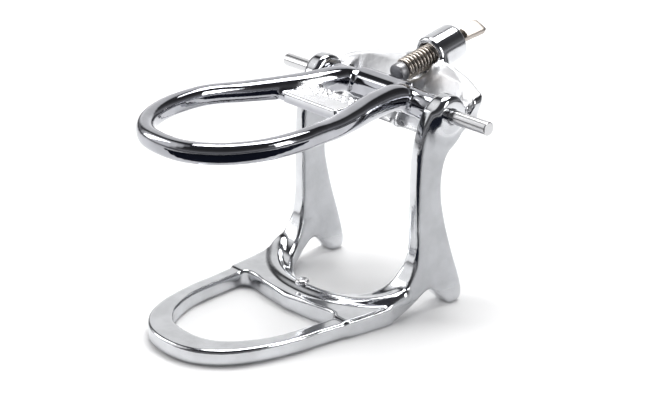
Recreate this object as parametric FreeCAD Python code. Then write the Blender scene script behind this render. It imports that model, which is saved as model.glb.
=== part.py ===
import FreeCAD, Part
import math
import os

# Plain-line dental articulator, all lengths in mm, +Z up, the base stands on z = 0.
# Shapes are drawn with y measured from the hinge axis, rearwards positive,
# and moved by HINGE_Y at the end so that the origin is the middle of the footprint.

V = FreeCAD.Vector

# ---- driving dimensions ----------------------------------------------------
HINGE_Y = 26.2          # hinge axis behind the middle of the footprint
HINGE_Z = 73.4          # hinge axis above the bench
PIN_R = 2.5             # hinge shaft
PIN_HALF = 53.8         # half the shaft's length
PIN_SEAT_R = 2.53       # the shaft's press seats in the two heads
PIN_SEAT_IN = 29.2
PIN_SEAT_OUT = 36.5
PIN_RELIEF_R = 2.2
HUB_BORE_R = 2.55       # running bore of the bow
LEG_IN = 28.7           # inner face of a leg
LEG_OUT = 34.0          # outer face of a leg
FOOT_OUT = 36.7         # outer face where the leg splays at the foot
BASE_T = 6.2            # thickness of the base loop
HEAD_R = 7.4            # rounded head that carries the shaft
HEAD_OUT = 36.4         # outer face of a head
BOW_Z = 77.2            # mid plane of the upper ring
SCREW_TILT = 13.0       # closing screw rises rearwards, degrees
SCREW_Y = 23.1          # point on the screw's axis, y from the hinge
SCREW_Z = 82.63         # the same point's height
SCREW_R = 2.5           # M5 screw
SCREW_BORE_R = 2.58
BLADE_ROLL = 28.0       # the blade's right edge is turned down by this, degrees
BARREL_R = 7.0
BARREL_LEN = 14.5
BUTTON_R = 3.7          # stop button on the screw's front end
BUTTON_LEN = 3.6
BUTTON_FRONT = -16.7    # button's end face, along the axis from the barrel's front
SPRING_R = 3.75         # mean radius of the coil
WIRE_R = 0.6
SPRING_TURNS = 8
SEAT_Z = 75.15          # seat on the bow's tail under the button


# ---- small helpers ---------------------------------------------------------
def spline(points, start=None, end=None):
    curve = Part.BSplineCurve()
    if start is None:
        curve.interpolate(Points=points)
    else:
        curve.interpolate(Points=points, InitialTangent=start, FinalTangent=end)
    return curve.toShape()


def prism(edges, direction):
    wire = Part.Wire(Part.__sortEdges__(edges))
    return Part.Face(wire).extrude(direction)


def polygon_prism(points, direction):
    return Part.Face(Part.makePolygon(points)).extrude(direction)


def mirrored(points):
    # closes a half outline given for x >= 0 by its mirror image
    return points + [V(-p.x, p.y, p.z) for p in reversed(points) if abs(p.x) > 1e-6]


def mirror_x(shape):
    return shape.mirror(V(0, 0, 0), V(1, 0, 0))


def cylinder_x(radius, x0, x1, y=0.0, z=HINGE_Z):
    return Part.makeCylinder(radius, x1 - x0, V(x0, y, z), V(1, 0, 0))


def box(x0, x1, y0, y1, z0, z1):
    return Part.makeBox(x1 - x0, y1 - y0, z1 - z0, V(x0, y0, z0))


def screw_dir():
    a = math.radians(SCREW_TILT)
    return V(0, math.cos(a), math.sin(a))


def screw_point(s):
    # point on the screw's axis, s mm rearwards of the barrel's front face
    return V(0, SCREW_Y, SCREW_Z) + screw_dir() * s


def along_screw(radius, s0, s1):
    return Part.makeCylinder(radius, s1 - s0, screw_point(s0), screw_dir())


def round_edges(shape, edges, radius):
    return shape.makeFillet(radius, edges)


# ---- lower frame -----------------------------------------------------------
def base_loop():
    side = 0.114
    half = [V(31.3, -57.6, 0), V(30.3, -68, 0), V(27, -82, 0), V(21, -93.3, 0),
            V(11.5, -100.6, 0), V(0, -102.8, 0)]
    front = spline(mirrored(half), V(-side, -1, 0), V(-side, 1, 0))
    right = Part.makeLine(V(34.9, -27.5, 0), V(31.3, -57.6, 0))
    left = Part.makeLine(V(-31.3, -57.6, 0), V(-34.9, -27.5, 0))
    back = Part.makeLine(V(-34.9, -27.5, 0), V(34.9, -27.5, 0))
    loop = prism([front, right, left, back], V(0, 0, BASE_T))
    rim = [e for e in loop.Edges if abs(e.CenterOfMass.z - BASE_T) < 0.01 and e.CenterOfMass.y < -28]
    loop = round_edges(loop, rim, 0.9)
    return loop.cut(base_window())


def base_window():
    half = [V(24.6, -62, 0), V(23.6, -70, 0), V(19.6, -80, 0), V(11.5, -90, 0), V(0, -92.3, 0)]
    front = spline(mirrored(half), V(-0.1, -1, 0), V(-0.1, 1, 0))
    right = Part.makeLine(V(24.6, -62, 0), V(25.8, -49, 0))
    left = Part.makeLine(V(-24.6, -62, 0), V(-25.8, -49, 0))
    corner_r = Part.Arc(V(25.8, -49, 0), V(25, -46.2, 0), V(22, -45.2, 0)).toShape()
    corner_l = Part.Arc(V(-25.8, -49, 0), V(-25, -46.2, 0), V(-22, -45.2, 0)).toShape()
    rear = Part.Arc(V(22, -45.2, 0), V(0, -48.3, 0), V(-22, -45.2, 0)).toShape()
    window = prism([front, right, left, corner_r, corner_l, rear], V(0, 0, BASE_T + 2))
    window.translate(V(0, 0, -1))
    return window


def leg_side_profile():
    # y, z outline of a leg, its foot and its flare into the rear plate
    x = -40
    front = [V(x, -8.5, 74.5), V(x, -11.6, 69), V(x, -13.6, 61), V(x, -14.1, 45), V(x, -14.0, 28),
             V(x, -15.6, 19), V(x, -20, 11.6), V(x, -28, 7.6), V(x, -43, BASE_T)]
    notch = [V(x, -25.5, 0), V(x, -17, 4.3), V(x, -9.5, 7.9), V(x, -4.5, 5.2), V(x, 1.2, 0)]
    toe = [V(x, 4.2, 0), V(x, 7.4, 2.6), V(x, 6.9, 8), V(x, 3.4, 20), V(x, 0, 32), V(x, -1.9, 44),
           V(x, -0.6, 55), V(x, 4.2, 61.4), V(x, 9.8, 65.6), V(x, 14.2, 68.8), V(x, 16.6, 72.4)]
    edges = [spline(front, V(0, -0.5, -1), V(0, -1, -0.05)),
             Part.makeLine(V(x, -43, BASE_T), V(x, -43, 0)),
             Part.makeLine(V(x, -43, 0), V(x, -25.5, 0)),
             spline(notch, V(0, 1, 0.35), V(0, 0.7, -1)),
             Part.makeLine(V(x, 1.2, 0), V(x, 4.2, 0)),
             spline(toe),
             Part.makeLine(V(x, 16.6, 72.4), V(x, 15.4, 76.0)),
             Part.makeLine(V(x, 15.4, 76.0), V(x, 6, 73.4)),
             Part.makeLine(V(x, 6, 73.4), V(x, -8.5, 74.5))]
    return prism(edges, V(80, 0, 0))


def yoke_front_profile():
    # x, z outline of the two legs and the crossbar, a wide U
    y = -60
    outer = [V(LEG_OUT, y, 84), V(LEG_OUT, y, 34), V(34.7, y, 22), V(FOOT_OUT, y, 0)]
    right_out = [Part.makeLine(outer[0], outer[1]), spline(outer[1:], V(0, 0, -1), V(0.12, 0, -1))]
    inner = [V(LEG_IN, y, 24), V(27.2, y, 16.6), V(22.6, y, 11.0), V(15.5, y, 8.7), V(0, y, 8.4)]
    inner_curve = spline(mirrored(inner), V(0, 0, -1), V(0, 0, 1))
    edges = list(right_out)
    edges += [mirror_x(e) for e in right_out]
    edges += [inner_curve,
              Part.makeLine(V(LEG_IN, y, 84), V(LEG_IN, y, 24)),
              Part.makeLine(V(-LEG_IN, y, 84), V(-LEG_IN, y, 24)),
              Part.makeLine(V(LEG_OUT, y, 84), V(LEG_IN, y, 84)),
              Part.makeLine(V(-LEG_OUT, y, 84), V(-LEG_IN, y, 84)),
              Part.makeLine(V(-FOOT_OUT, y, 0), V(FOOT_OUT, y, 0))]
    return prism(edges, V(0, 100, 0))


def plan_outline():
    # x, y outline of the legs and feet, flush with the base loop in front
    z = -1
    edge = [V(34.9, -27.5, z), V(35.9, -16, z), V(36.8, -4, z), V(37.2, 10, z)]
    right = spline(edge, V(0.12, 1, 0), V(0, 1, 0))
    sides = [right, mirror_x(right),
             Part.makeLine(V(30.0, -68, z), V(34.9, -27.5, z)),
             Part.makeLine(V(-30.0, -68, z), V(-34.9, -27.5, z)),
             Part.makeLine(V(37.2, 10, z), V(37.2, 40, z)),
             Part.makeLine(V(-37.2, 10, z), V(-37.2, 40, z)),
             Part.makeLine(V(-37.2, 40, z), V(37.2, 40, z)),
             Part.makeLine(V(-30.0, -68, z), V(30.0, -68, z))]
    return prism(sides, V(0, 0, 100))


def behind_crossbar():
    # the open space between the feet, an upright elliptical cut
    semi_x, semi_y = 28.4, 32.5
    middle = -4.0
    major = V(0, middle - semi_y, -1)
    minor = V(semi_x, middle, -1)
    front = Part.Arc(Part.Ellipse(major, minor, V(0, middle, -1)), -math.pi / 2, math.pi / 2)
    edge = front.toShape()
    x = semi_x
    return prism([edge, Part.makeLine(V(x, middle, -1), V(x, 30, -1)), Part.makeLine(V(x, 30, -1), V(-x, 30, -1)),
                  Part.makeLine(V(-x, 30, -1), V(-x, middle, -1))], V(0, 0, 40))


def crossbar_rib():
    # the rounded rib along the crossbar's rear, which becomes the legs' front strips
    half = [V(30.4, -13, 10.2), V(29.0, -22.5, 8.8), V(24.0, -31.3, 7.0), V(12.5, -37.5, 5.9),
            V(0, -39.3, 5.7)]
    path = Part.Wire([spline(mirrored(half), V(-0.1, -1, -0.1), V(-0.1, 1, 0.1))])
    ring = Part.Wire([Part.makeCircle(2.72, half[0], V(-0.1, -1, -0.1))])
    return path.makePipeShell([ring], True, False)


def head():
    dome = cylinder_x(HEAD_R, LEG_IN, HEAD_OUT)
    outer = [e for e in dome.Edges if abs(e.CenterOfMass.x - HEAD_OUT) < 0.01]
    inner = [e for e in dome.Edges if abs(e.CenterOfMass.x - LEG_IN) < 0.01 and e.Length > 10]
    dome = round_edges(dome, outer, 2.2)
    inner = [e for e in dome.Edges if abs(e.CenterOfMass.x - LEG_IN) < 0.01 and e.Length > 10]
    return round_edges(dome, inner, 0.8)


def plate_section(x, points):
    corners = [V(x, y, z) for y, z in points]
    return Part.makePolygon(corners + [corners[0]])


def rear_plate():
    # a thin dished plate, its wings curled forwards, trimmed by its x, z outline
    middle = [(7.4, 59.0), (10.2, 58.4), (14.6, 66.0), (18.2, 72.0), (23.6, 80.2), (22.8, 82.6), (19.0, 80.4),
              (12.6, 71.0)]
    quarter = [(7.4, 59.0), (10.2, 58.4), (14.6, 66.0), (17.6, 72.0), (20.6, 79.4), (19.4, 81.6), (16.6, 79.4),
               (12.2, 71.0)]
    wing = [(6.6, 61.0), (9.6, 60.4), (14.2, 67.0), (17.2, 72.0), (16.2, 77.6), (14.4, 79.0), (12.6, 77.0),
            (11.6, 71.0)]
    sections = [plate_section(-36.2, wing), plate_section(-22, quarter), plate_section(-10, middle),
                plate_section(10, middle), plate_section(22, quarter), plate_section(36.2, wing)]
    slab = Part.makeLoft(sections, True, True)
    y = -5
    top = [V(34.2, y, 70), V(35.6, y, 74.0), V(35.0, y, 76.9), V(30, y, 79), V(22, y, 81), V(14, y, 82.4),
           V(0, y, 83)]
    low = [V(34.2, y, 70), V(33.4, y, 67.6), V(31.4, y, 65.2), V(28.6, y, 61.6), V(26, y, 57)]
    edges = [spline(mirrored(top)), spline(low), mirror_x(spline(low)),
             Part.makeLine(V(26, y, 57), V(-26, y, 57))]
    return slab.common(prism(edges, V(0, 40, 0)))


def barrel():
    body = along_screw(BARREL_R, 0, BARREL_LEN)
    ends = [e for e in body.Edges if e.Length > 40]
    return round_edges(body, ends, 1.5)


def barrel_neck():
    # cheeks that carry the barrel on the plate's top edge, wider than the spring
    x = -8.5
    outline = [V(x, 14.8, 68.0), V(x, 19.4, 79.0), V(x, 22.5, 81.7), V(x, 28, 83.7), V(x, 32.5, 83.8),
               V(x, 32.5, 79.0), V(x, 27.5, 75.0), V(x, 20.5, 70.2), V(x, 14.8, 68.0)]
    block = polygon_prism(outline, V(17, 0, 0))
    lengthwise = [e for e in block.Edges if abs(abs(e.CenterOfMass.x) - 8.5) < 0.01]
    block = round_edges(block, lengthwise, 1.6)
    return block.common(along_screw(8.6, -20, 20).fuse(box(-8.5, 8.5, 10, 40, 60, 79.8)))


def barrel_rib():
    # low central rib of the plate, running up under the spring to the barrel
    x = -3.4
    outline = [V(x, 7.0, 60.3), V(x, 12.4, 72.2), V(x, 16.8, 77.0), V(x, 21, 77.4), V(x, 21, 73),
               V(x, 16, 68), V(x, 10.0, 59.4), V(x, 7.0, 60.3)]
    return polygon_prism(outline, V(6.8, 0, 0))


def lower_frame():
    legs = leg_side_profile().common(yoke_front_profile()).common(plan_outline())
    legs = legs.cut(behind_crossbar())
    body = legs.fuse([base_loop().cut(behind_crossbar()), crossbar_rib(), head(), mirror_x(head()),
                      rear_plate(), barrel_rib(), barrel_neck(), barrel()])
    body = body.cut(box(-60, 60, -120, 60, -10, 0))
    body = body.cut(base_window())
    body = body.cut(cylinder_x(PIN_R, -PIN_SEAT_IN, PIN_SEAT_IN))
    body = body.cut(cylinder_x(PIN_SEAT_R, PIN_SEAT_IN, 40))
    body = body.cut(cylinder_x(PIN_SEAT_R, -40, -PIN_SEAT_IN))
    body = body.cut(along_screw(SCREW_BORE_R, -1, BARREL_LEN + 1))
    body = body.cut(along_screw(SPRING_R + WIRE_R + 0.35, -1, 2.0))
    body = body.cut(along_screw(5.4, -40, 0))
    body = body.cut(Part.makeCylinder(1.5, 1.6, V(0, -39.4, 7.2), V(0, 0, 1)))
    return body.removeSplitter()


def index_stud():
    # midline stud pressed into the crossbar
    post = Part.makeCylinder(1.5, 1.8, V(0, -39.4, 7.2), V(0, 0, 1))
    cap = Part.makeCylinder(2.7, 1.6, V(0, -39.4, 8.5), V(0, 0, 1))
    top = [e for e in cap.Edges if abs(e.CenterOfMass.z - 10.1) < 0.01]
    return post.fuse(round_edges(cap, top, 0.9)).removeSplitter()


# ---- hinge shaft -----------------------------------------------------------
def hinge_shaft():
    shaft = cylinder_x(PIN_R, -PIN_HALF, PIN_HALF)
    ends = [e for e in shaft.Edges if abs(abs(e.CenterOfMass.x) - PIN_HALF) < 0.01]
    shaft = shaft.makeChamfer(0.35, ends)
    seats = [cylinder_x(PIN_SEAT_R, PIN_SEAT_IN, PIN_SEAT_OUT), cylinder_x(PIN_SEAT_R, -PIN_SEAT_OUT, -PIN_SEAT_IN)]
    # relief grooves at the heads' outer faces
    reliefs = [cylinder_x(PIN_RELIEF_R, PIN_SEAT_OUT - 1.2, PIN_SEAT_OUT),
               cylinder_x(PIN_RELIEF_R, -PIN_SEAT_OUT, -PIN_SEAT_OUT + 1.2)]
    core = cylinder_x(PIN_R + 1, PIN_SEAT_OUT - 1.2, PIN_SEAT_OUT)
    cuts = [core.cut(reliefs[0]), mirror_x(core).cut(reliefs[1])]
    return shaft.fuse(seats).cut(cuts)


# ---- upper bow -------------------------------------------------------------
def casting_section(centre, normal, width, height):
    # rounded section, width across the path in plan, height upright
    side = V(0, 0, 1).cross(normal)
    side.normalize()
    points = []
    for k in range(12):
        a = 2 * math.pi * k / 12
        c, s = math.cos(a), math.sin(a)
        u = math.copysign(abs(c) ** 0.82, c) * width / 2
        w = math.copysign(abs(s) ** 0.82, s) * height / 2
        points.append(centre + side * u + V(0, 0, 1) * w)
    curve = Part.BSplineCurve()
    curve.interpolate(Points=points, PeriodicFlag=True)
    return Part.Wire([curve.toShape()])


def half_ring():
    # stations from the front of the ring to the hinge: x, y, z, width, height
    stations = [(0, -100.3, 77.4, 6.4, 7.3), (11.2, -98.4, 77.4, 6.4, 7.3), (21.2, -90.8, 77.5, 6.4, 7.3),
                (27.6, -79, 77.8, 6.4, 7.3), (29.4, -66, 78.1, 6.5, 7.3), (28.4, -57, 78.1, 6.7, 7.4),
                (25.6, -46, 77.3, 7.4, 7.6), (21.8, -35, 77.0, 8.0, 7.8), (18.2, -25, 76.8, 8.3, 7.9),
                (15.6, -15, 76.7, 8.3, 8.0), (14.6, -8, 76.2, 8.2, 8.1), (14.4, -1, 74.6, 7.8, 8.4)]
    path = spline([V(x, y, z) for x, y, z, w, h in stations], V(1, 0, 0), V(0, 1, -0.3))
    sections = []
    for x, y, z, width, height in stations:
        t = path.Curve.parameter(V(x, y, z))
        tangent = path.Curve.tangent(t)[0]
        flat = V(tangent.x, tangent.y, 0)
        sections.append(casting_section(V(x, y, z), flat, width, height))
    return Part.makeLoft(sections, True, False)


def bow_hub():
    hub = cylinder_x(4.3, -28.4, 28.4)
    ends = [e for e in hub.Edges if e.Length > 20 and abs(abs(e.CenterOfMass.x) - 28.4) < 0.01]
    return round_edges(hub, ends, 0.8)


def arm_shoulder():
    # rounded mass where an arm turns outwards onto the hub
    ball = Part.makeSphere(5.0, V(15.3, -0.7, 74.3))
    collar = Part.makeCone(4.95, 4.5, 9, V(14.2, 0, HINGE_Z), V(1, 0, 0))
    return ball.fuse(collar)


def saddle():
    x = -12
    top = Part.Arc(V(x, -5.0, 78.6), V(x, 0, 80.2), V(x, 4.3, 79.1)).toShape()
    edges = [top,
             Part.makeLine(V(x, 4.3, 79.1), V(x, 4.9, SEAT_Z)),
             Part.makeLine(V(x, 4.9, SEAT_Z), V(x, 9.2, SEAT_Z)),
             Part.makeLine(V(x, 9.2, SEAT_Z), V(x, 9.2, 73.0)),
             Part.makeLine(V(x, 9.2, 73.0), V(x, 3.0, 69.6)),
             Part.makeLine(V(x, 3.0, 69.6), V(x, -4.5, 71.0)),
             Part.makeLine(V(x, -4.5, 71.0), V(x, -5.0, 78.6))]
    web = prism(edges, V(24, 0, 0))
    tail = [e for e in web.Edges if e.Length > 20 and (e.CenterOfMass.y > 8.9 or e.CenterOfMass.z > 78)]
    return round_edges(web, tail, 0.7)


def tongue():
    # flat index plate between the arms with its cast strip behind it
    plate = box(-14, 14, -36, -27, 74.0, 78.0)
    corners = [e for e in plate.Edges if abs(e.CenterOfMass.z - 76) < 0.1 and e.Length < 5]
    plate = round_edges(plate, corners, 1.2)
    rim = [e for e in plate.Edges if abs(e.CenterOfMass.z - 78) < 0.01]
    plate = round_edges(plate, rim, 0.5)
    z = 73.8
    bridge = polygon_prism([V(-21, -34.5, z), V(21, -34.5, z), V(16.5, -19.5, z), V(-16.5, -19.5, z),
                            V(-21, -34.5, z)], V(0, 0, 2.8))
    strip = box(-15, 15, -28, -20.5, 74.2, 77.4)
    ridges = [cylinder_x(0.75, -13.5, 13.5, y, 77.3) for y in (-25.6, -23.8, -22.0)]
    return plate.fuse([bridge, strip] + ridges)


def upper_bow():
    half = half_ring().fuse(arm_shoulder())
    body = half.fuse([mirror_x(half), bow_hub(), saddle(), tongue()])
    body = body.cut(cylinder_x(HUB_BORE_R, -40, 40))
    outside = cylinder_x(9, 28.4, 40)
    body = body.cut(outside).cut(mirror_x(outside))
    return body.removeSplitter()


# ---- closing screw ---------------------------------------------------------
def adjusting_screw():
    # threaded rod, drawn at its outside diameter, with a flat flared thumb blade
    rod = along_screw(SCREW_R, BUTTON_FRONT + 1.0, 19.5)
    s0, s1 = 18.0, 28.6
    d = screw_dir()
    roll = math.radians(BLADE_ROLL)
    level = V(1, 0, 0).cross(d)
    across = V(1, 0, 0) * math.cos(roll) - level * math.sin(roll)
    up = across.cross(d)
    corners = [screw_point(s0) + across * 2.5, screw_point(s1) + across * 3.3,
               screw_point(s1) - across * 3.3, screw_point(s0) - across * 2.5]
    corners = [c - up * 0.9 for c in corners]
    blade = Part.Face(Part.makePolygon(corners + [corners[0]])).extrude(up * 1.8)
    tip = [e for e in blade.Edges if e.Length < 2 and e.CenterOfMass.y > screw_point(20).y]
    blade = round_edges(blade, tip, 1.0)
    return rod.fuse(blade).removeSplitter()


def stop_button():
    body = along_screw(BUTTON_R, BUTTON_FRONT, BUTTON_FRONT + BUTTON_LEN)
    rims = [e for e in body.Edges if e.Length > 15]
    body = round_edges(body, rims, 0.4)
    return body.cut(along_screw(SCREW_BORE_R, BUTTON_FRONT + 1.0, BUTTON_FRONT + 10))


def tension_spring():
    s0 = BUTTON_FRONT + BUTTON_LEN + WIRE_R + 0.05
    s1 = 2.0 - WIRE_R - 0.05
    length = s1 - s0
    helix = Part.makeHelix(length / SPRING_TURNS, length, SPRING_R)
    start = Part.makeCircle(WIRE_R, V(SPRING_R, 0, 0), V(0, 1, 0))
    coil = Part.Wire(helix.Edges).makePipeShell([Part.Wire([start])], True, True)
    turn = FreeCAD.Rotation(V(0, 0, 1), screw_dir())
    coil.Placement = FreeCAD.Placement(screw_point(s0), turn)
    return coil


# ---- write the nodes -------------------------------------------------------
def main():
    os.makedirs("parts", exist_ok=True)
    nodes = {
        "lower_frame": lower_frame(),
        "midline_index_stud": index_stud(),
        "hinge_shaft": hinge_shaft(),
        "upper_bow": upper_bow(),
        "adjusting_screw": adjusting_screw(),
        "stop_button": stop_button(),
        "tension_spring": tension_spring(),
    }
    for name, shape in nodes.items():
        moved = shape.copy()
        moved.translate(V(0, HINGE_Y, 0))
        moved.exportStep("parts/" + name + ".step")
        b = moved.BoundBox
        print(name, moved.isValid(), len(moved.Solids), round(moved.Volume), round(b.XMin, 2), round(b.XMax, 2),
              round(b.YMin, 2), round(b.YMax, 2), round(b.ZMin, 2), round(b.ZMax, 2))


main()
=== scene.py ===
import math
import random

import bpy
import numpy as np
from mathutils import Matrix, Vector


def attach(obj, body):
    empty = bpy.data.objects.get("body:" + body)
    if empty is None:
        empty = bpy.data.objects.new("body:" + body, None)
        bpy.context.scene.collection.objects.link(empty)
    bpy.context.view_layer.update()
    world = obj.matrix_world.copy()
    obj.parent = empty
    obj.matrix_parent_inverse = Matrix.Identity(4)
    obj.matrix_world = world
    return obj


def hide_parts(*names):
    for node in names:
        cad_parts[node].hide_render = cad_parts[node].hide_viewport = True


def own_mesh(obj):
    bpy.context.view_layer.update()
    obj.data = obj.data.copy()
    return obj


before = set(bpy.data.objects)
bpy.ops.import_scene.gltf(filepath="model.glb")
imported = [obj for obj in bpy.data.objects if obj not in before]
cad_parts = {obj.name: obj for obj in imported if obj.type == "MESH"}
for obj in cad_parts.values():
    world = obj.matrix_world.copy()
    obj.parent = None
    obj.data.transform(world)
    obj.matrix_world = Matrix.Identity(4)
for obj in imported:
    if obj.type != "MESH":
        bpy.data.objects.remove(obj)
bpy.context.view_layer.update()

# ---- dimensions, mm, y measured from the hinge axis, rearwards positive -----
HINGE_Y = 26.2                       # the hinge axis in the row frame
HINGE_Z = 73.4
PIN_R = 2.5
PIN_HALF = 53.8
BASE_T = 6.2
TILT = math.radians(13.0)            # of the closing screw, its blade end up
SCREW_ORIGIN = np.array([0.0, 23.1, 82.63])   # on the screw's axis at the barrel's front
SCREW_DIR = np.array([0.0, math.cos(TILT), math.sin(TILT)])
SCREW_UP = np.array([0.0, -math.sin(TILT), math.cos(TILT)])
BUTTON_FRONT = -16.7                 # along the screw's axis
BUTTON_LEN = 3.6
BUTTON_R = 3.7
BLADE_ROLL = math.radians(28.0)
SCREW_R = 2.5
THREAD_PITCH = 0.8
THREAD_DEPTH = 0.42
ROD_END = 19.5
BLADE_FROM, BLADE_TO = 17.3, 28.6
BLADE_HALF_WIDTHS = 2.35, 3.3
SPRING_R = 3.83
WIRE_R = 0.52
TURNS = 9.5
CLOSED_TURNS = 1.0                   # at each end of the coil
SEAT_Z = 75.15                       # of the bow's seat under the button


def to_row(points):
    """mm from the hinge axis to metres in the row frame"""
    out = np.array(points, float)
    out[..., 1] += HINGE_Y
    return out / 1000.0


def screw_point(s):
    return SCREW_ORIGIN + SCREW_DIR * s


# ---- implicit shapes: each returns the distance in mm at points (n, 3) ------
def smin(a, b, k):
    h = np.maximum(k - np.abs(a - b), 0.0) / k
    return np.minimum(a, b) - h * h * k * 0.25


def smax(a, b, k):
    return -smin(-a, -b, k)


def smooth_line(points, per=8):
    """a Catmull-Rom line through 2-D points"""
    pts = np.array(points, float)
    n = len(pts)
    out = []
    for i in range(n - 1):
        p1, p2 = pts[i], pts[i + 1]
        p0 = pts[i - 1] if i > 0 else 2 * p1 - p2
        p3 = pts[i + 2] if i + 2 < n else 2 * p2 - p1
        for j in range(per):
            t = j / per
            out.append(0.5 * (2 * p1 + (p2 - p0) * t + (2 * p0 - 5 * p1 + 4 * p2 - p3) * t * t
                              + (3 * p1 - p0 - 3 * p2 + p3) * t ** 3))
    out.append(pts[-1])
    return np.array(out)


def polygon_distance(poly, u, v):
    """signed distance to a closed 2-D polygon, negative inside"""
    best = np.full(u.shape, 1e9)
    inside = np.zeros(u.shape, bool)
    count = len(poly)
    for i in range(count):
        ax, ay = poly[i]
        bx, by = poly[(i + 1) % count]
        ex, ey = bx - ax, by - ay
        wx, wy = u - ax, v - ay
        t = np.clip((wx * ex + wy * ey) / (ex * ex + ey * ey + 1e-12), 0, 1)
        dx, dy = wx - ex * t, wy - ey * t
        best = np.minimum(best, dx * dx + dy * dy)
        crosses = (ay > v) != (by > v)
        if ay != by:
            inside ^= crosses & (u < (bx - ax) * (v - ay) / (by - ay) + ax)
    best = np.sqrt(best)
    return np.where(inside, -best, best)


class Table:
    """values of a 2-D function on a fine grid, read back by linear interpolation"""

    def __init__(self, function, low, high, h=0.25):
        self.low, self.h = np.array(low, float), h
        self.n = np.ceil((np.array(high) - self.low) / h).astype(int)
        u = self.low[0] + h * np.arange(self.n[0] + 1)
        v = self.low[1] + h * np.arange(self.n[1] + 1)
        uu, vv = np.meshgrid(u, v, indexing="ij")
        self.values = np.array(function(uu, vv))

    def __call__(self, u, v):
        a = (u - self.low[0]) / self.h
        b = (v - self.low[1]) / self.h
        ac = np.clip(a, 0, self.n[0] - 1e-6)
        bc = np.clip(b, 0, self.n[1] - 1e-6)
        beyond = np.hypot(a - ac, b - bc) * self.h
        i, j = ac.astype(int), bc.astype(int)
        fa, fb = ac - i, bc - j
        t = self.values
        if t.ndim == 3:
            out = (t[:, i, j] * (1 - fa) + t[:, i + 1, j] * fa) * (1 - fb) + (
                t[:, i, j + 1] * (1 - fa) + t[:, i + 1, j + 1] * fa) * fb
            out[0] += beyond
            return out
        out = (t[i, j] * (1 - fa) + t[i + 1, j] * fa) * (1 - fb) + (
            t[i, j + 1] * (1 - fa) + t[i + 1, j + 1] * fa) * fb
        return out + beyond


def outline_table(poly, pad=8.0):
    poly = np.array(poly, float)
    return Table(lambda u, v: polygon_distance(poly, u, v), poly.min(0) - pad, poly.max(0) + pad)


def path_table(line, low, high):
    """distance in plan to a path, then the path's other columns at the nearest point"""
    def nearest(u, v):
        best = np.full(u.shape, 1e9)
        rest = np.zeros((line.shape[1] - 2,) + u.shape)
        for i in range(len(line) - 1):
            a, e = line[i], line[i + 1] - line[i]
            wx, wy = u - a[0], v - a[1]
            t = np.clip((wx * e[0] + wy * e[1]) / (e[0] ** 2 + e[1] ** 2), 0, 1)
            d = np.hypot(wx - e[0] * t, wy - e[1] * t)
            near = d < best
            best = np.where(near, d, best)
            for c in range(len(rest)):
                rest[c] = np.where(near, a[2 + c] + e[2 + c] * t, rest[c])
        return np.concatenate([best[None], rest])
    return Table(nearest, low, high)


def box_distance(p, centre, half, r=0.0):
    q = np.abs(p - np.array(centre)) - (np.array(half) - r)
    outside = np.linalg.norm(np.maximum(q, 0), axis=1)
    return outside + np.minimum(q.max(axis=1), 0) - r


def rod_distance(p, a, b, radius, r=0.0):
    """cylinder from a to b, its rims rounded by r"""
    a, b = np.array(a, float), np.array(b, float)
    axis = b - a
    length = np.linalg.norm(axis)
    axis /= length
    w = p - (a + b) / 2
    along = w @ axis
    radial = np.linalg.norm(w - np.outer(along, axis), axis=1)
    qx = radial - (radius - r)
    qy = np.abs(along) - (length / 2 - r)
    return np.hypot(np.maximum(qx, 0), np.maximum(qy, 0)) + np.minimum(np.maximum(qx, qy), 0) - r


def chain_distance(p, line, radii):
    """round-section chain along 3-D points with a radius at each point"""
    best = np.full(len(p), 1e9)
    for i in range(len(line) - 1):
        a, e = line[i], line[i + 1] - line[i]
        t = np.clip(((p - a) @ e) / (e @ e), 0, 1)
        d = np.linalg.norm(p - a - np.outer(t, e), axis=1)
        best = np.minimum(best, d - (radii[i] + (radii[i + 1] - radii[i]) * t))
    return best


# ---- lower frame ---------------------------------------------------------------
def mirror_outline(half):
    """closes a half outline drawn for x >= 0, front centre last"""
    half = np.array(half, float)
    left = half[::-1].copy()
    left[:, 0] *= -1
    keep = left[:, 0] < -1e-6
    return np.vstack([half, left[keep]])


LOOP_OUT = mirror_outline(np.vstack([
    [[34.9, -27.5], [34.2, -34], [33.0, -44]],
    smooth_line([[31.3, -57.6], [30.3, -68], [27.0, -82], [21.0, -93.3], [11.5, -100.6], [0, -102.8],
                 [-11.5, -100.6]], 8)[:41]]))
LOOP_IN = mirror_outline(np.vstack([
    smooth_line([[0, -48.3], [12, -46.9], [19.5, -45.3], [23.8, -45.4], [25.7, -47.6], [25.6, -51.5],
                 [25.0, -58], [24.2, -66], [22.8, -73], [19.6, -80.2], [15.6, -86.2], [9.3, -90.8],
                 [0, -92.4], [-9.3, -90.8]], 6)[:73]]))

SIDE = np.vstack([
    smooth_line([[-8.0, 76.0], [-11.2, 70], [-13.4, 61], [-14.1, 48], [-14.1, 34], [-14.3, 24], [-16.0, 17.4],
                 [-20.2, 11.4], [-27, 7.9], [-36, 6.5], [-46, 6.2]], 5),
    [[-46, -3], [-27.5, -3]],
    smooth_line([[-25.5, 0.2], [-17.5, 4.0], [-10.5, 7.9], [-7.2, 7.7], [-3.0, 4.0], [1.6, -0.4]], 5),
    [[4.2, -0.4]],
    smooth_line([[6.4, 0.6], [7.5, 3.2], [6.8, 8.4], [3.6, 20], [0.4, 32], [-1.8, 44], [-0.7, 55],
                 [4.0, 61.6], [9.8, 65.8], [14.6, 69.0], [16.6, 73.0], [15.8, 77.0]], 5),
    [[12.0, 75.5], [7.0, 74.5], [0, 77]]])

FRONT = np.array([
    [0, -4], [36.9, -4], [36.6, 2], [35.9, 10], [34.9, 20], [34.2, 32], [34.0, 48], [34.0, 90],
    [28.7, 90], [28.7, 60], [28.7, 30], [28.5, 23], [27.6, 18], [25.6, 14], [22.4, 11.0], [18.5, 9.2],
    [14, 8.4], [0, 8.2]])

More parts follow.
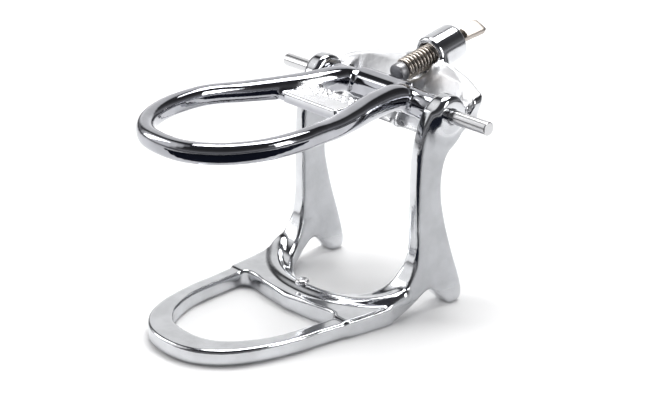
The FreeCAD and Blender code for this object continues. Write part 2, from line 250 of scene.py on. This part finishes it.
PLAN = np.array([
    [0, -60], [31.0, -60], [34.9, -27.5], [35.8, -16], [36.7, -4], [37.1, 6], [37.1, 40], [0, 40]])

RIB = mirror_outline(smooth_line([[33.6, -20.5], [31.2, -25.6], [27.0, -30.2], [21.5, -34.2],
                                  [15.0, -37.2], [8.0, -39.1], [0, -39.7], [-8, -39.1]], 4)[:25])

PLATE = np.array([
    [7.4, 58.8], [10.2, 58.3], [14.6, 65.6], [18.4, 71.8], [24.8, 80.2], [24.6, 82.2], [22.6, 82.3],
    [19.6, 79.8], [14.0, 71.2]])
PLATE_FRONT = np.vstack([
    [[0, 83.2]],
    smooth_line([[9, 83.4], [14, 82.4], [18, 81.7], [22, 81.0], [26, 80.1], [30, 79.2], [33.5, 77.9],
                 [35.4, 76.2], [35.9, 74.2], [35.0, 71.0], [33.6, 68.0], [31.4, 65.2], [28.8, 61.6],
                 [26.6, 58]], 4),
    [[26, 50], [0, 50]]])


RIB_LINE = np.column_stack([RIB, 5.7 + 2.6 * np.clip((np.abs(RIB[:, 0]) - 20) / 14, 0, 1) ** 2])
outer_at = outline_table(LOOP_OUT)
window_at = outline_table(LOOP_IN)
side_at = outline_table(SIDE)
front_at = outline_table(np.vstack([FRONT, [[-5, 8.2], [-5, -4]]]))
plan_at = outline_table(np.vstack([PLAN, [[-5, 40], [-5, -60]]]))
plate_at = outline_table(PLATE)
plate_front_at = outline_table(np.vstack([PLATE_FRONT, [[-5, 50], [-5, 83.2]]]))
rib_at = path_table(RIB_LINE, (-42, -50), (42, -10))


def loop_distance(p):
    ax, y, z = p[:, 0], p[:, 1], p[:, 2]
    outer = outer_at(ax, y)
    window = window_at(ax, y)
    plan = smax(outer, -window, 1.0)
    slab = np.abs(z - BASE_T / 2) - BASE_T / 2
    return smax(plan, slab, 1.5)


def behind_distance(p):
    """the open arch behind the crossbar, negative inside it"""
    x, y = p[:, 0], p[:, 1]
    yy = np.minimum(y + 4.0, 0.0)
    k = np.sqrt((x / 28.4) ** 2 + (yy / 32.5) ** 2)
    return (k - 1.0) * 26.0


def lower_frame_distance(p):
    x, y, z = p[:, 0], p[:, 1], p[:, 2]
    ax = np.abs(x)
    side = side_at(y, z)
    front = front_at(ax, z)
    plan = plan_at(ax, y)
    behind = behind_distance(p)
    yoke = smax(smax(side, front, 1.8), plan, 1.8)
    yoke = smax(yoke, -behind, 2.2)
    loop = smax(loop_distance(p), -behind, 1.6)
    beside, height = rib_at(x, y)
    rib = np.hypot(beside, z - height) - 2.72
    body = smin(yoke, loop, 2.2)
    body = smin(body, smax(rib, -behind, 0.8), 2.2)
    body = smax(body, -window_at(x, y), 1.0)
    q = p.copy()
    q[:, 0] = ax
    head = rod_distance(q, (28.7, 0, HINGE_Z), (36.4, 0, HINGE_Z), 7.4, 2.4)
    neck = rod_distance(q, (28.9, -0.5, HINGE_Z - 5), (34.3, -0.5, HINGE_Z - 5), 7.4, 1.5)
    body = smin(body, smin(head, neck, 2.5), 2.8)
    inner = 28.65 - ax - 40.0 * np.clip((62 - z) / 10, 0, 1)
    body = smax(body, inner, 0.8)
    curl = 1.2 + 6.2 * np.clip((ax - 10.0) / 25.0, 0, 1) ** 1.2
    section = plate_at(y + curl * np.clip((z - 60.0) / 20.0, 0, 1), z)
    dish = 0.9 * np.clip(1 - (ax / 25.0) ** 2, 0, 1) * np.clip((z - 60) / 6, 0, 1)
    facing = np.clip((13.0 + (z - 70.0) * 0.62 + 2.2 - y) / 1.2, 0, 1)
    section = section + dish * facing
    outline = plate_front_at(ax, z)
    plate = smax(section, outline, 1.0)
    body = smin(body, plate, 2.4)
    rib2 = chain_distance(p, np.array([[0, 9.0, 60.6], [0, 13.6, 70.2], [0, 18.2, 76.0], [0, 24, 77.9]]),
                          np.array([2.0, 2.6, 3.6, 4.4]))
    body = smin(body, rib2, 3.0)
    barrel = rod_distance(p, screw_point(0.0), screw_point(14.5), 7.0, 1.7)
    cheeks = box_distance(q, (4.6, 23.0, 78.2), (3.6, 4.0, 3.2), 1.8)
    body = smin(smin(body, cheeks, 3.0), barrel, 2.6)
    channel = rod_distance(p, screw_point(-30), screw_point(0.0), 5.3)
    body = smax(body, -channel, 1.2)
    body = smax(body, -rod_distance(p, screw_point(-3), screw_point(2.0), 4.65), 0.6)
    body = smax(body, -rod_distance(p, screw_point(-3), screw_point(20), 2.62), 0.5)
    body = smax(body, -rod_distance(p, (-45, 0, HINGE_Z), (45, 0, HINGE_Z), 2.55), 0.5)
    return smax(body, -z, 0.8)


# ---- upper bow -------------------------------------------------------------------
# x, y, z, half width, half height of one half of the ring and its arm, front to hinge
STATIONS = np.array([
    [0, -100.3, 77.4, 3.2, 3.65], [11.2, -98.4, 77.4, 3.2, 3.65], [21.2, -90.8, 77.5, 3.2, 3.65],
    [27.6, -79, 77.8, 3.2, 3.65], [29.4, -66, 78.1, 3.25, 3.65], [28.4, -57, 78.1, 3.35, 3.7],
    [25.6, -46, 77.3, 3.7, 3.8], [21.8, -35, 77.0, 4.1, 4.1], [18.2, -25, 77.0, 4.4, 4.4],
    [15.7, -15, 77.1, 4.55, 4.6], [14.9, -8, 76.9, 4.6, 4.7], [15.6, -3.0, 75.7, 4.5, 4.7],
    [18.4, -0.6, 74.4, 4.1, 4.1], [23, 0, 73.5, 4.3, 4.3]])


def station_line(per=5):
    front = STATIONS[1].copy()
    front[0] *= -1
    rows = np.vstack([[front], STATIONS])
    line = smooth_line(rows, per)
    return line[per:]


RING = station_line()


ring_at = path_table(RING, (-2, -110), (40, 16))


def ring_distance(p):
    beside, zc, hw, hh = ring_at(np.abs(p[:, 0]), p[:, 1])
    n = 2.35
    k = ((beside / hw) ** n + (np.abs(p[:, 2] - zc) / hh) ** n) ** (1 / n)
    return (k - 1.0) * np.minimum(hw, hh)


SADDLE = np.array([
    [-5.9, 76.5], [-4.9, 78.7], [-2.6, 79.9], [0.8, 80.2], [3.6, 79.5], [4.3, 78.6],
    [4.9, SEAT_Z], [9.2, SEAT_Z],
    [9.3, 74.2], [8.8, 72.6], [3.0, 69.6], [-4.0, 70.0], [-5.6, 72.5]])

PEBBLE_SEED = 7


def pebbles():
    """the cast texture of the strip behind the index plate"""
    rng = random.Random(PEBBLE_SEED)
    out = []
    for row, y in enumerate((-25.2, -22.6)):
        for i in range(9):
            x = -12.2 + 3.05 * i + (0.9 if row else 0.0) + rng.uniform(-0.5, 0.5)
            yy = y + rng.uniform(-0.5, 0.5)
            out.append((np.array([x, yy, 77.2 + rng.uniform(-0.2, 0.25)]),
                        np.array([rng.uniform(0.55, 1.15), rng.uniform(0.55, 1.2), rng.uniform(0.6, 0.95)])))
    return out


PEBBLES = pebbles()
saddle_at = outline_table(SADDLE)


def upper_bow_distance(p):
    x, y, z = p[:, 0], p[:, 1], p[:, 2]
    q = p.copy()
    q[:, 0] = np.abs(x)
    body = ring_distance(p)
    hub = rod_distance(q, (-28.4, 0, HINGE_Z), (28.4, 0, HINGE_Z), 4.35, 0.9)
    body = smin(body, hub, 3.2)
    web = smax(saddle_at(y, z), q[:, 0] - 12.0, 1.4)
    body = smin(body, web, 2.2)
    plate = box_distance(q, (0, -31.5, 76.0), (14, 4.5, 2.0), 0.55)
    wing = box_distance(q, (0, -27.6, 75.3), (20.5 - 3.5, 7.4, 1.5), 0.8)
    body = smin(body, wing, 2.2)
    strip = box_distance(q, (0, -24.0, 75.9), (14.6, 3.6, 1.2), 0.5)
    body = smin(body, strip, 1.2)
    for centre, half in PEBBLES:
        w = (p - centre) / half
        r = np.linalg.norm(w, axis=1)
        body = smin(body, (r - 1.0) * half.min(), 0.5)
    body = smin(body, plate, 0.5)
    body = smax(body, -rod_distance(p, (-45, 0, HINGE_Z), (45, 0, HINGE_Z), 2.56), 0.4)
    return body


# ---- surface nets ------------------------------------------------------------------
def surface_mesh(name, distance, low, high, step, project=3):
    low, high = np.array(low, float), np.array(high, float)
    block = 4
    count = np.ceil((high - low) / (step * block)).astype(int) * block
    shape = count + 1
    field = np.empty(shape, np.float32)
    bc = count // block
    ci = np.stack(np.meshgrid(*[np.arange(n) for n in bc], indexing="ij"), -1).reshape(-1, 3)
    centres = low + (ci + 0.5) * step * block
    coarse = np.concatenate([distance(c) for c in np.array_split(centres, max(1, len(centres) // 60000))])
    field[:] = 1.0
    reach = step * block * 0.5 * math.sqrt(3) * 1.25 + 1.5
    for (i, j, k), d in zip(ci, coarse):
        if d < -reach:
            spans = [slice(c * block, (c + 1) * block + 1) for c in (i, j, k)]
            field[tuple(spans)] = -1.0
    near = ci[np.abs(coarse) <= reach]
    off = np.stack(np.meshgrid(*[np.arange(block + 1)] * 3, indexing="ij"), -1).reshape(-1, 3)
    per = max(1, 60000 // len(off))
    for s in range(0, len(near), per):
        group = near[s:s + per]
        idx = (group[:, None, :] * block + off[None]).reshape(-1, 3)
        field[idx[:, 0], idx[:, 1], idx[:, 2]] = distance(low + idx * step)
    inside = field < 0
    nx, ny, nz = count
    cube = np.zeros((nx, ny, nz), int)
    for a in (0, 1):
        for b in (0, 1):
            for c in (0, 1):
                cube += inside[a:nx + a, b:ny + b, c:nz + c]
    active = (cube > 0) & (cube < 8)
    ids = np.full(active.shape, -1, np.int64)
    cells = np.argwhere(active)
    ids[tuple(cells.T)] = np.arange(len(cells))
    total = np.zeros((len(cells), 3))
    hits = np.zeros(len(cells))
    corners = [(a, b, c) for a in (0, 1) for b in (0, 1) for c in (0, 1)]
    for a in corners:
        for axis in range(3):
            if a[axis]:
                continue
            b = list(a)
            b[axis] = 1
            ia, ib = cells + np.array(a), cells + np.array(b)
            fa, fb = field[tuple(ia.T)], field[tuple(ib.T)]
            cross = (fa < 0) != (fb < 0)
            t = np.where(cross, fa / np.where(cross, fa - fb, 1), 0)
            pt = ia + (ib - ia) * t[:, None]
            total[cross] += pt[cross]
            hits += cross
    verts = low + total / hits[:, None] * step
    eps = step * 0.2
    for _ in range(project):
        d0 = np.concatenate([distance(c) for c in np.array_split(verts, max(1, len(verts) // 60000))])
        grad = np.empty_like(verts)
        for axis in range(3):
            shift = verts.copy()
            shift[:, axis] += eps
            d1 = np.concatenate([distance(c) for c in np.array_split(shift, max(1, len(verts) // 60000))])
            grad[:, axis] = (d1 - d0) / eps
        g2 = np.maximum((grad ** 2).sum(1), 0.05)
        move = np.clip(d0, -step * 0.6, step * 0.6)[:, None] * grad / g2[:, None]
        verts = verts - move
    faces = []
    for axis in range(3):
        u, v = (axis + 1) % 3, (axis + 2) % 3
        sl = [slice(1, n) for n in (nx, ny, nz)]
        sl[axis] = slice(0, (nx, ny, nz)[axis])
        sa = list(sl)
        sb = list(sl)
        sb[axis] = slice(1, (nx, ny, nz)[axis] + 1)
        fa = inside[tuple(sa)]
        fb = inside[tuple(sb)]
        change = np.argwhere(fa != fb)
        base = change + 1
        base[:, axis] -= 1
        out = fa[tuple(change.T)]
        quad = []
        for du, dv in ((-1, -1), (0, -1), (0, 0), (-1, 0)):
            c = base.copy()
            c[:, u] += du
            c[:, v] += dv
            quad.append(ids[tuple(c.T)])
        quad = np.stack(quad, 1)
        quad[~out] = quad[~out][:, ::-1]
        faces.append(quad)
    faces = np.vstack(faces)
    mesh = bpy.data.meshes.new(name)
    mesh.vertices.add(len(verts))
    mesh.vertices.foreach_set("co", to_row(verts).ravel())
    mesh.loops.add(faces.size)
    mesh.loops.foreach_set("vertex_index", faces.ravel())
    mesh.polygons.add(len(faces))
    mesh.polygons.foreach_set("loop_start", np.arange(0, faces.size, 4))
    mesh.polygons.foreach_set("loop_total", np.full(len(faces), 4))
    mesh.polygons.foreach_set("use_smooth", np.ones(len(faces), bool))
    mesh.update()
    mesh.validate()
    obj = bpy.data.objects.new(name, mesh)
    bpy.context.scene.collection.objects.link(obj)
    return obj


STEP = 0.6

lower = surface_mesh("lower_frame_casting", lower_frame_distance, (-39, -106, -2), (39, 46, 96), STEP)
bow = surface_mesh("upper_bow_casting", upper_bow_distance, (-35, -106, 66), (35, 13, 84), STEP)


# ---- materials -----------------------------------------------------------------------
def metal_base(name, colour):
    mat = bpy.data.materials.new(name)
    mat.use_nodes = True
    bsdf = mat.node_tree.nodes["Principled BSDF"]
    bsdf.inputs["Metallic"].default_value = 1.0
    bsdf.inputs["Base Color"].default_value = (*colour, 1)
    return mat, mat.node_tree, bsdf


def noise_of(nt, scale, detail):
    tex = nt.nodes.new("ShaderNodeTexCoord")
    noise = nt.nodes.new("ShaderNodeTexNoise")
    noise.inputs["Scale"].default_value = scale
    noise.inputs["Detail"].default_value = detail
    nt.links.new(tex.outputs["Object"], noise.inputs["Vector"])
    return noise.outputs["Fac"]


def attribute_of(nt, name):
    node = nt.nodes.new("ShaderNodeAttribute")
    node.attribute_name = name
    return node.outputs["Fac"]


def map_range(nt, value, **ends):
    """a Map Range node; ends are To_Min, To_Max, From_Min and From_Max"""
    node = nt.nodes.new("ShaderNodeMapRange")
    for end, number in ends.items():
        node.inputs[end.replace("_", " ")].default_value = number
    nt.links.new(value, node.inputs["Value"])
    return node.outputs["Result"]


def multiply_add(nt, value, factor, plus):
    node = nt.nodes.new("ShaderNodeMath")
    node.operation = "MULTIPLY_ADD"
    node.inputs[1].default_value = factor
    nt.links.new(value, node.inputs[0])
    nt.links.new(plus, node.inputs[2])
    return node.outputs[0]


def colour_mix(nt, a, b, factor=1.0, blend="MIX"):
    """a Mix node for colours; a, b and factor are constants or sockets"""
    node = nt.nodes.new("ShaderNodeMix")
    node.data_type = "RGBA"
    node.blend_type = blend
    for value, socket in ((factor, 0), (a, 6), (b, 7)):
        if isinstance(value, bpy.types.NodeSocket):
            nt.links.new(value, node.inputs[socket])
        else:
            node.inputs[socket].default_value = value
    return node.outputs[2]


def metal(name, colour, rough, bump, scale, vary):
    """plain metal whose roughness varies a little, over a fine noise bump"""
    mat, nt, bsdf = metal_base(name, colour)
    noise = noise_of(nt, scale, 4)
    varied = map_range(nt, noise, To_Min=max(rough - vary, 0.01), To_Max=rough + vary)
    nt.links.new(varied, bsdf.inputs["Roughness"])
    b = nt.nodes.new("ShaderNodeBump")
    b.inputs["Strength"].default_value = bump
    b.inputs["Distance"].default_value = 0.0002
    nt.links.new(noise, b.inputs["Height"])
    nt.links.new(b.outputs["Normal"], bsdf.inputs["Normal"])
    return mat


# a paler chrome painted on the plates: a painted sheen standing in for their bright reflections
PALE_CHROME = (0.86, 0.865, 0.88, 1)


def casting_material(name, colour, satin_painted_colour, satin_rough, polish_rough, bump):
    """chrome over a casting: polished where the attribute 'satin' is 0; the satin parts also take the second
    colour, which paints their shade or light, and where 'pale' is 1 a paler colour is painted on, a painted
    sheen
    """
    mat, nt, bsdf = metal_base(name, colour)
    satin = attribute_of(nt, "satin")
    fine = noise_of(nt, 900, 6)
    broad = noise_of(nt, 120, 3)
    rough = map_range(nt, satin, To_Min=polish_rough, To_Max=satin_rough)
    nt.links.new(multiply_add(nt, broad, 0.08, rough), bsdf.inputs["Roughness"])
    # the second colour on the satin parts: darker on the lower frame, painted shade over the real satin finish
    # of the legs' flat sides
    shade = colour_mix(nt, (*colour, 1), (*satin_painted_colour, 1), satin)
    # a paler colour where 'pale' is 1: the painted sheen on the plates
    lighter = colour_mix(nt, shade, PALE_CHROME, attribute_of(nt, "pale"))
    cloud = map_range(nt, broad, From_Min=0.35, From_Max=0.65, To_Min=0.90, To_Max=1.05)
    nt.links.new(colour_mix(nt, lighter, cloud, blend="MULTIPLY"), bsdf.inputs["Base Color"])
    b = nt.nodes.new("ShaderNodeBump")
    b.inputs["Distance"].default_value = 0.0004
    nt.links.new(map_range(nt, satin, To_Min=bump * 0.25, To_Max=bump), b.inputs["Strength"])
    nt.links.new(multiply_add(nt, fine, 0.6, broad), b.inputs["Height"])
    nt.links.new(b.outputs["Normal"], bsdf.inputs["Normal"])
    return mat


def paint(obj, rule):
    """stores the attributes 'satin' and 'pale', which rule gives from position in mm and normal; 'satin' also
    carries a painted shade, 'pale' a painted sheen
    """
    mesh = obj.data
    n = len(mesh.vertices)
    co = np.empty(n * 3)
    mesh.vertices.foreach_get("co", co)
    co = co.reshape(-1, 3) * 1000
    co[:, 1] -= HINGE_Y
    no = np.array([v.normal for v in mesh.vertices])
    for kind, values in zip(("satin", "pale"), rule(co, no)):
        attr = mesh.attributes.new(kind, "FLOAT", "POINT")
        attr.data.foreach_set("value", values.astype(np.float32))


def ramp(v, a, b):
    return np.clip((v - a) / (b - a), 0, 1)


def lower_satin(p, n):
    # the legs' flat sides: a real satin finish, which also takes the painted shade of the darker colour
    side = ramp(np.abs(n[:, 0]), 0.8, 0.95) * ramp(p[:, 2], 3, 9) * ramp(-p[:, 2], -74, -66)
    plate = ramp(p[:, 2], 57, 61) * ramp(p[:, 1], 6, 9) * (np.abs(n[:, 0]) < 0.7)
    barrel = ramp(np.linalg.norm(p[:, [0, 2]] - [0, 86], axis=1), 8.5, 11)
    plate = plate * np.where(p[:, 1] > 20, barrel, 1)
    # the satin mask, then where the plate is painted paler, a painted sheen
    return np.maximum(side, plate), plate * (1 - side)


def bow_satin(p, n):
    plate = ramp(-np.abs(p[:, 0]), -15.5, -13.5) * ramp(p[:, 1], -37, -35) * ramp(-p[:, 1], 14, 19)
    plate = plate * ramp(p[:, 2], 75.5, 77)
    # the index plate is partly satin and painted paler, a painted sheen
    return 0.7 * plate, plate


paint(lower, lower_satin)
paint(bow, bow_satin)
# lower frame: its satin parts are painted darker, painted shade
lower.data.materials.append(
    casting_material("chrome_lower", (0.66, 0.67, 0.69), (0.50, 0.51, 0.53), 0.36, 0.07, 0.25))
# bow: its chrome is painted darker than the lower frame's, painted shade standing in for the dark reflections
# on the ring; its satin plate takes a lighter colour
bow.data.materials.append(
    casting_material("chrome_bow", (0.42, 0.425, 0.455), (0.60, 0.61, 0.63), 0.30, 0.04, 0.12))
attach(lower, "lower_frame")
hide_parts("lower_frame")
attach(bow, "upper_bow")
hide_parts("upper_bow")


# ---- turned and wound pieces ------------------------------------------------------------
def mesh_object(name, verts, faces):
    mesh = bpy.data.meshes.new(name)
    mesh.from_pydata([tuple(v) for v in to_row(verts)], [], faces)
    mesh.polygons.foreach_set("use_smooth", [True] * len(mesh.polygons))
    mesh.update()
    mesh.set_sharp_from_angle(angle=math.radians(35))
    obj = bpy.data.objects.new(name, mesh)
    bpy.context.scene.collection.objects.link(obj)
    return obj


def tube_faces(rows, around):
    """quads between rows of points, and one face closing each end"""
    faces = []
    for i in range(rows - 1):
        for k in range(around):
            k2 = (k + 1) % around
            faces.append((i * around + k, i * around + k2, (i + 1) * around + k2, (i + 1) * around + k))
    faces.append(tuple(range(around - 1, -1, -1)))
    faces.append(tuple((rows - 1) * around + k for k in range(around)))
    return faces


def lathe(name, origin, axis, profile, around=64, radial=None):
    """turns (distance along, radius) pairs about an axis; radial(s, angle) adds to the radius"""
    origin, axis = np.array(origin, float), np.array(axis, float)
    side = np.array([1.0, 0, 0]) if abs(axis[0]) < 0.9 else np.array([0, 1.0, 0])
    u = np.cross(axis, side)
    u /= np.linalg.norm(u)
    v = np.cross(axis, u)
    verts, faces = [], []
    for s, r in profile:
        for k in range(around):
            a = 2 * math.pi * k / around
            rr = r + (radial(s, a) if radial and r > 0.5 else 0.0)
            verts.append(origin + axis * s + (u * math.cos(a) + v * math.sin(a)) * rr)
    rows = len(profile)
    for i in range(rows - 1):
        for k in range(around):
            k2 = (k + 1) % around
            faces.append((i * around + k, i * around + k2, (i + 1) * around + k2, (i + 1) * around + k))
    verts.append(origin + axis * profile[0][0])
    verts.append(origin + axis * profile[-1][0])
    a, b = len(verts) - 2, len(verts) - 1
    for k in range(around):
        k2 = (k + 1) % around
        faces.append((a, k2, k))
        faces.append((b, (rows - 1) * around + k, (rows - 1) * around + k2))
    return mesh_object(name, np.array(verts), faces)


def rounded_profile(s0, s1, r, rim, dish=0.0):
    """profile of a rod with rounded rims"""
    out = [(s0 + dish, 0.3), (s0, r - rim)]
    for k in range(1, 6):
        a = math.pi / 2 * k / 5
        out.append((s0 + rim - rim * math.cos(a), r - rim + rim * math.sin(a)))
    for k in range(0, 6):
        a = math.pi / 2 * k / 5
        out.append((s1 - rim + rim * math.sin(a), r - rim + rim * math.cos(a)))
    out += [(s1, r - rim), (s1 - dish, 0.3)]
    return out


shaft = lathe("hinge_shaft_pin", (0, 0, HINGE_Z), (1, 0, 0), rounded_profile(-PIN_HALF, PIN_HALF, PIN_R, 0.35))
shaft.data.materials.append(metal("bright_steel", (0.60, 0.60, 0.61), 0.20, 0.05, 700, 0.04))
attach(shaft, "lower_frame")
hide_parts("hinge_shaft")

stud = lathe("midline_stud_cap", (0, -39.4, 0), (0, 0, 1),
             [(7.3, 0.3), (7.3, 1.5), (8.5, 1.5), (8.55, 2.7), (9.2, 2.7), (9.6, 2.5), (9.9, 2.0),
              (10.06, 1.1), (10.1, 0.3)], 40)
stud.data.materials.append(metal("stud_bright", (0.74, 0.74, 0.75), 0.24, 0.1, 500, 0.05))
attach(stud, "lower_frame")
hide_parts("midline_index_stud")

button = lathe("stop_button_turned", screw_point(BUTTON_FRONT), SCREW_DIR,
               [(0.0, 0.3), (0.0, BUTTON_R - 0.5), (0.12, BUTTON_R - 0.2), (0.5, BUTTON_R),
                (BUTTON_LEN - 0.4, BUTTON_R), (BUTTON_LEN - 0.1, BUTTON_R - 0.15),
                (BUTTON_LEN, BUTTON_R - 0.4),
                (BUTTON_LEN, 2.56), (BUTTON_LEN - 1.0, 2.56), (BUTTON_LEN - 1.0, 0.3)], 72)
button.data.materials.append(metal("turned_grey", (0.30, 0.30, 0.31), 0.42, 0.2, 900, 0.06))
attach(button, "stop_button")
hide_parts("stop_button")


def thread(s, a):
    """a right-handed thread cut into the rod"""
    phase = (s / THREAD_PITCH - a / (2 * math.pi)) % 1.0
    return -THREAD_DEPTH * abs(2 * phase - 1)


rod_profile = [(BUTTON_FRONT + 1.1, 0.3)]
s = BUTTON_FRONT + 1.1
while s < ROD_END - 0.4:
    rod_profile.append((s, SCREW_R))
    s += 0.1
rod_profile += [(ROD_END - 0.4, SCREW_R - 0.2), (ROD_END, SCREW_R - 0.6), (ROD_END, 0.3)]
rod = lathe("closing_screw_rod", screw_point(0), SCREW_DIR, rod_profile, 32, thread)

# flat flared blade
BLADE_ACROSS = np.array([1.0, 0, 0]) * math.cos(BLADE_ROLL) - SCREW_UP * math.sin(BLADE_ROLL)
BLADE_UP = np.array([1.0, 0, 0]) * math.sin(BLADE_ROLL) + SCREW_UP * math.cos(BLADE_ROLL)
steps = 12
around = 16
narrow, wide = BLADE_HALF_WIDTHS
verts = []
for i in range(steps + 1):
    t = i / steps
    s = BLADE_FROM + (BLADE_TO - BLADE_FROM) * t
    half = narrow + (wide - narrow) * min(1, t * 1.3)
    thick = 1.15 if t < 0.92 else 1.15 - 0.35 * (t - 0.92) / 0.08
    if t > 0.9:
        half -= 0.5 * ((t - 0.9) / 0.1) ** 2
    for k in range(around):
        a = 2 * math.pi * k / around
        cx = math.copysign(abs(math.cos(a)) ** 0.35, math.cos(a)) * half
        cz = math.copysign(abs(math.sin(a)) ** 0.35, math.sin(a)) * thick
        verts.append(screw_point(s) + BLADE_ACROSS * cx + BLADE_UP * cz)
blade = mesh_object("closing_screw_blade", np.array(verts), tube_faces(steps + 1, around))
nickel = metal("nickel", (0.46, 0.42, 0.385), 0.42, 0.1, 600, 0.06)
thread_dark = metal("thread_dark", (0.12, 0.105, 0.09), 0.4, 0.1, 600, 0.06)
for piece in (rod, blade):
    piece.data.materials.append(thread_dark if piece is rod else nickel)
    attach(piece, "adjusting_screw")
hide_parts("adjusting_screw")

# coil spring with closed ends
s0 = BUTTON_FRONT + BUTTON_LEN + WIRE_R + 0.05
s1 = 2.0 - WIRE_R - 0.05
count = int(TURNS * 40)
path = []
for i in range(count + 1):
    t = i / count
    turn = TURNS * t
    live = min(max((turn - CLOSED_TURNS) / (TURNS - 2 * CLOSED_TURNS), 0), 1)
    closed = min(turn, CLOSED_TURNS) + max(turn - (TURNS - CLOSED_TURNS), 0)
    rise = closed * 2 * WIRE_R + live * (s1 - s0 - 2 * CLOSED_TURNS * 2 * WIRE_R)
    a = 2 * math.pi * turn
    across = np.array([1.0, 0, 0]) * math.cos(a) + SCREW_UP * math.sin(a)
    path.append(screw_point(s0 + rise) + SPRING_R * across)
path = np.array(path)
verts = []
sides = 12
for i in range(len(path)):
    tangent = path[min(i + 1, count)] - path[max(i - 1, 0)]
    tangent /= np.linalg.norm(tangent)
    centre = path[i] - screw_point(0)
    out = centre - SCREW_DIR * (centre @ SCREW_DIR)
    out /= np.linalg.norm(out)
    up = np.cross(tangent, out)
    for k in range(sides):
        a = 2 * math.pi * k / sides
        verts.append(path[i] + WIRE_R * (out * math.cos(a) + up * math.sin(a)))
spring = mesh_object("tension_spring_coil", np.array(verts), tube_faces(len(path), sides))
spring.data.materials.append(metal("spring_wire", (0.52, 0.47, 0.42), 0.28, 0.08, 900, 0.06))
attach(spring, "lower_frame")
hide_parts("tension_spring")
anchor = to_row(screw_point(s1 + WIRE_R))
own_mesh(spring)

# ---- stage, light, camera ---------------------------------------------------------------
def stage_plane(name, colour, rough, **shape):
    bpy.ops.mesh.primitive_plane_add(**shape)
    obj = bpy.context.object
    obj.name = name
    mat = bpy.data.materials.new(name)
    mat.use_nodes = True
    bsdf = mat.node_tree.nodes["Principled BSDF"]
    bsdf.inputs["Base Color"].default_value = (*colour, 1)
    bsdf.inputs["Roughness"].default_value = rough
    obj.data.materials.append(mat)
    return obj, bsdf


floor, _ = stage_plane("floor", (0.96, 0.96, 0.96), 0.7, size=6, location=(0, 0, 0))

# a dark card lying in front, seen only by the polished parts
TOWARDS_FRONT = (0.727, -0.686)
CARD_AWAY = 0.485
card, card_bsdf = stage_plane(
    "dark_card", (0.010, 0.012, 0.020), 0.9, size=1,
    location=(TOWARDS_FRONT[0] * CARD_AWAY, TOWARDS_FRONT[1] * CARD_AWAY, 0.001), rotation=(0, 0, -0.756))
card.scale = (0.8, 0.9, 1)
card_bsdf.inputs["Specular IOR Level"].default_value = 0.0
card.visible_camera = False
card.visible_diffuse = False
card.visible_shadow = False

world = bpy.data.worlds.new("studio")
bpy.context.scene.world = world
world.use_nodes = True
wn = world.node_tree
bg = wn.nodes["Background"]
coord = wn.nodes.new("ShaderNodeTexCoord")
sep = wn.nodes.new("ShaderNodeSeparateXYZ")
wn.links.new(coord.outputs["Generated"], sep.inputs[0])
sky = wn.nodes.new("ShaderNodeValToRGB")
wn.links.new(sep.outputs["Z"], sky.inputs[0])
el = sky.color_ramp.elements
el[0].position, el[0].color = 0.0, (0.10, 0.10, 0.11, 1)
el[1].position, el[1].color = 1.0, (0.05, 0.05, 0.06, 1)
for pos, grey in ((0.04, 0.16), (0.18, 0.30), (0.34, 0.10), (0.6, 0.04)):
    e = el.new(pos)
    e.color = (grey, grey, grey * 1.04, 1)


def glow(direction, start, full, strength):
    """a soft bright patch of sky about a direction; start and full are cosines from its centre"""
    dot = wn.nodes.new("ShaderNodeVectorMath")
    dot.operation = "DOT_PRODUCT"
    dot.inputs[1].default_value = direction
    wn.links.new(coord.outputs["Generated"], dot.inputs[0])
    return map_range(wn, dot.outputs["Value"], From_Min=start, From_Max=full, To_Max=strength)


# one patch low behind the object, for faces that look up, and one at its left, for the rear plate
glows = wn.nodes.new("ShaderNodeMath")
wn.links.new(glow((-0.675, 0.637, 0.374), 0.86, 0.93, 0.85), glows.inputs[0])
wn.links.new(glow((-0.675, -0.52, 0.523), 0.82, 0.94, 1.0), glows.inputs[1])
wn.links.new(colour_mix(wn, sky.outputs["Color"], glows.outputs[0], blend="ADD"), bg.inputs["Color"])
bg.inputs["Strength"].default_value = 1.0


def area(name, location, target, size, power, size_y=None):
    light = bpy.data.lights.new(name, "AREA")
    light.energy = power
    light.shape = "RECTANGLE"
    light.size = size
    light.size_y = size_y or size
    obj = bpy.data.objects.new(name, light)
    obj.location = location
    direction = Vector(target) - Vector(location)
    obj.rotation_euler = direction.to_track_quat("-Z", "Y").to_euler()
    bpy.context.scene.collection.objects.link(obj)
    return obj


area("key", (-0.15, 0.25, 0.95), (0, 0, 0.03), 0.75, 10.5, 0.5)
area("left", (-0.75, -0.45, 0.5), (0, 0, 0.05), 0.25, 2.2, 0.6)
area("right", (0.8, 0.25, 0.45), (0, 0, 0.05), 0.25, 2.2, 0.5)

cam_data = bpy.data.cameras.new("camera")
cam_data.lens = 97.06
cam_data.sensor_width = 36
cam = bpy.data.objects.new("camera", cam_data)
cam.location = (0.44552, -0.42057 + HINGE_Y / 1000, 0.278)
cam.rotation_euler = (math.pi / 2 - 0.383932, 0, 0.848818)
bpy.context.scene.collection.objects.link(cam)
bpy.context.scene.camera = cam

bpy.context.scene.view_settings.view_transform = "Standard"
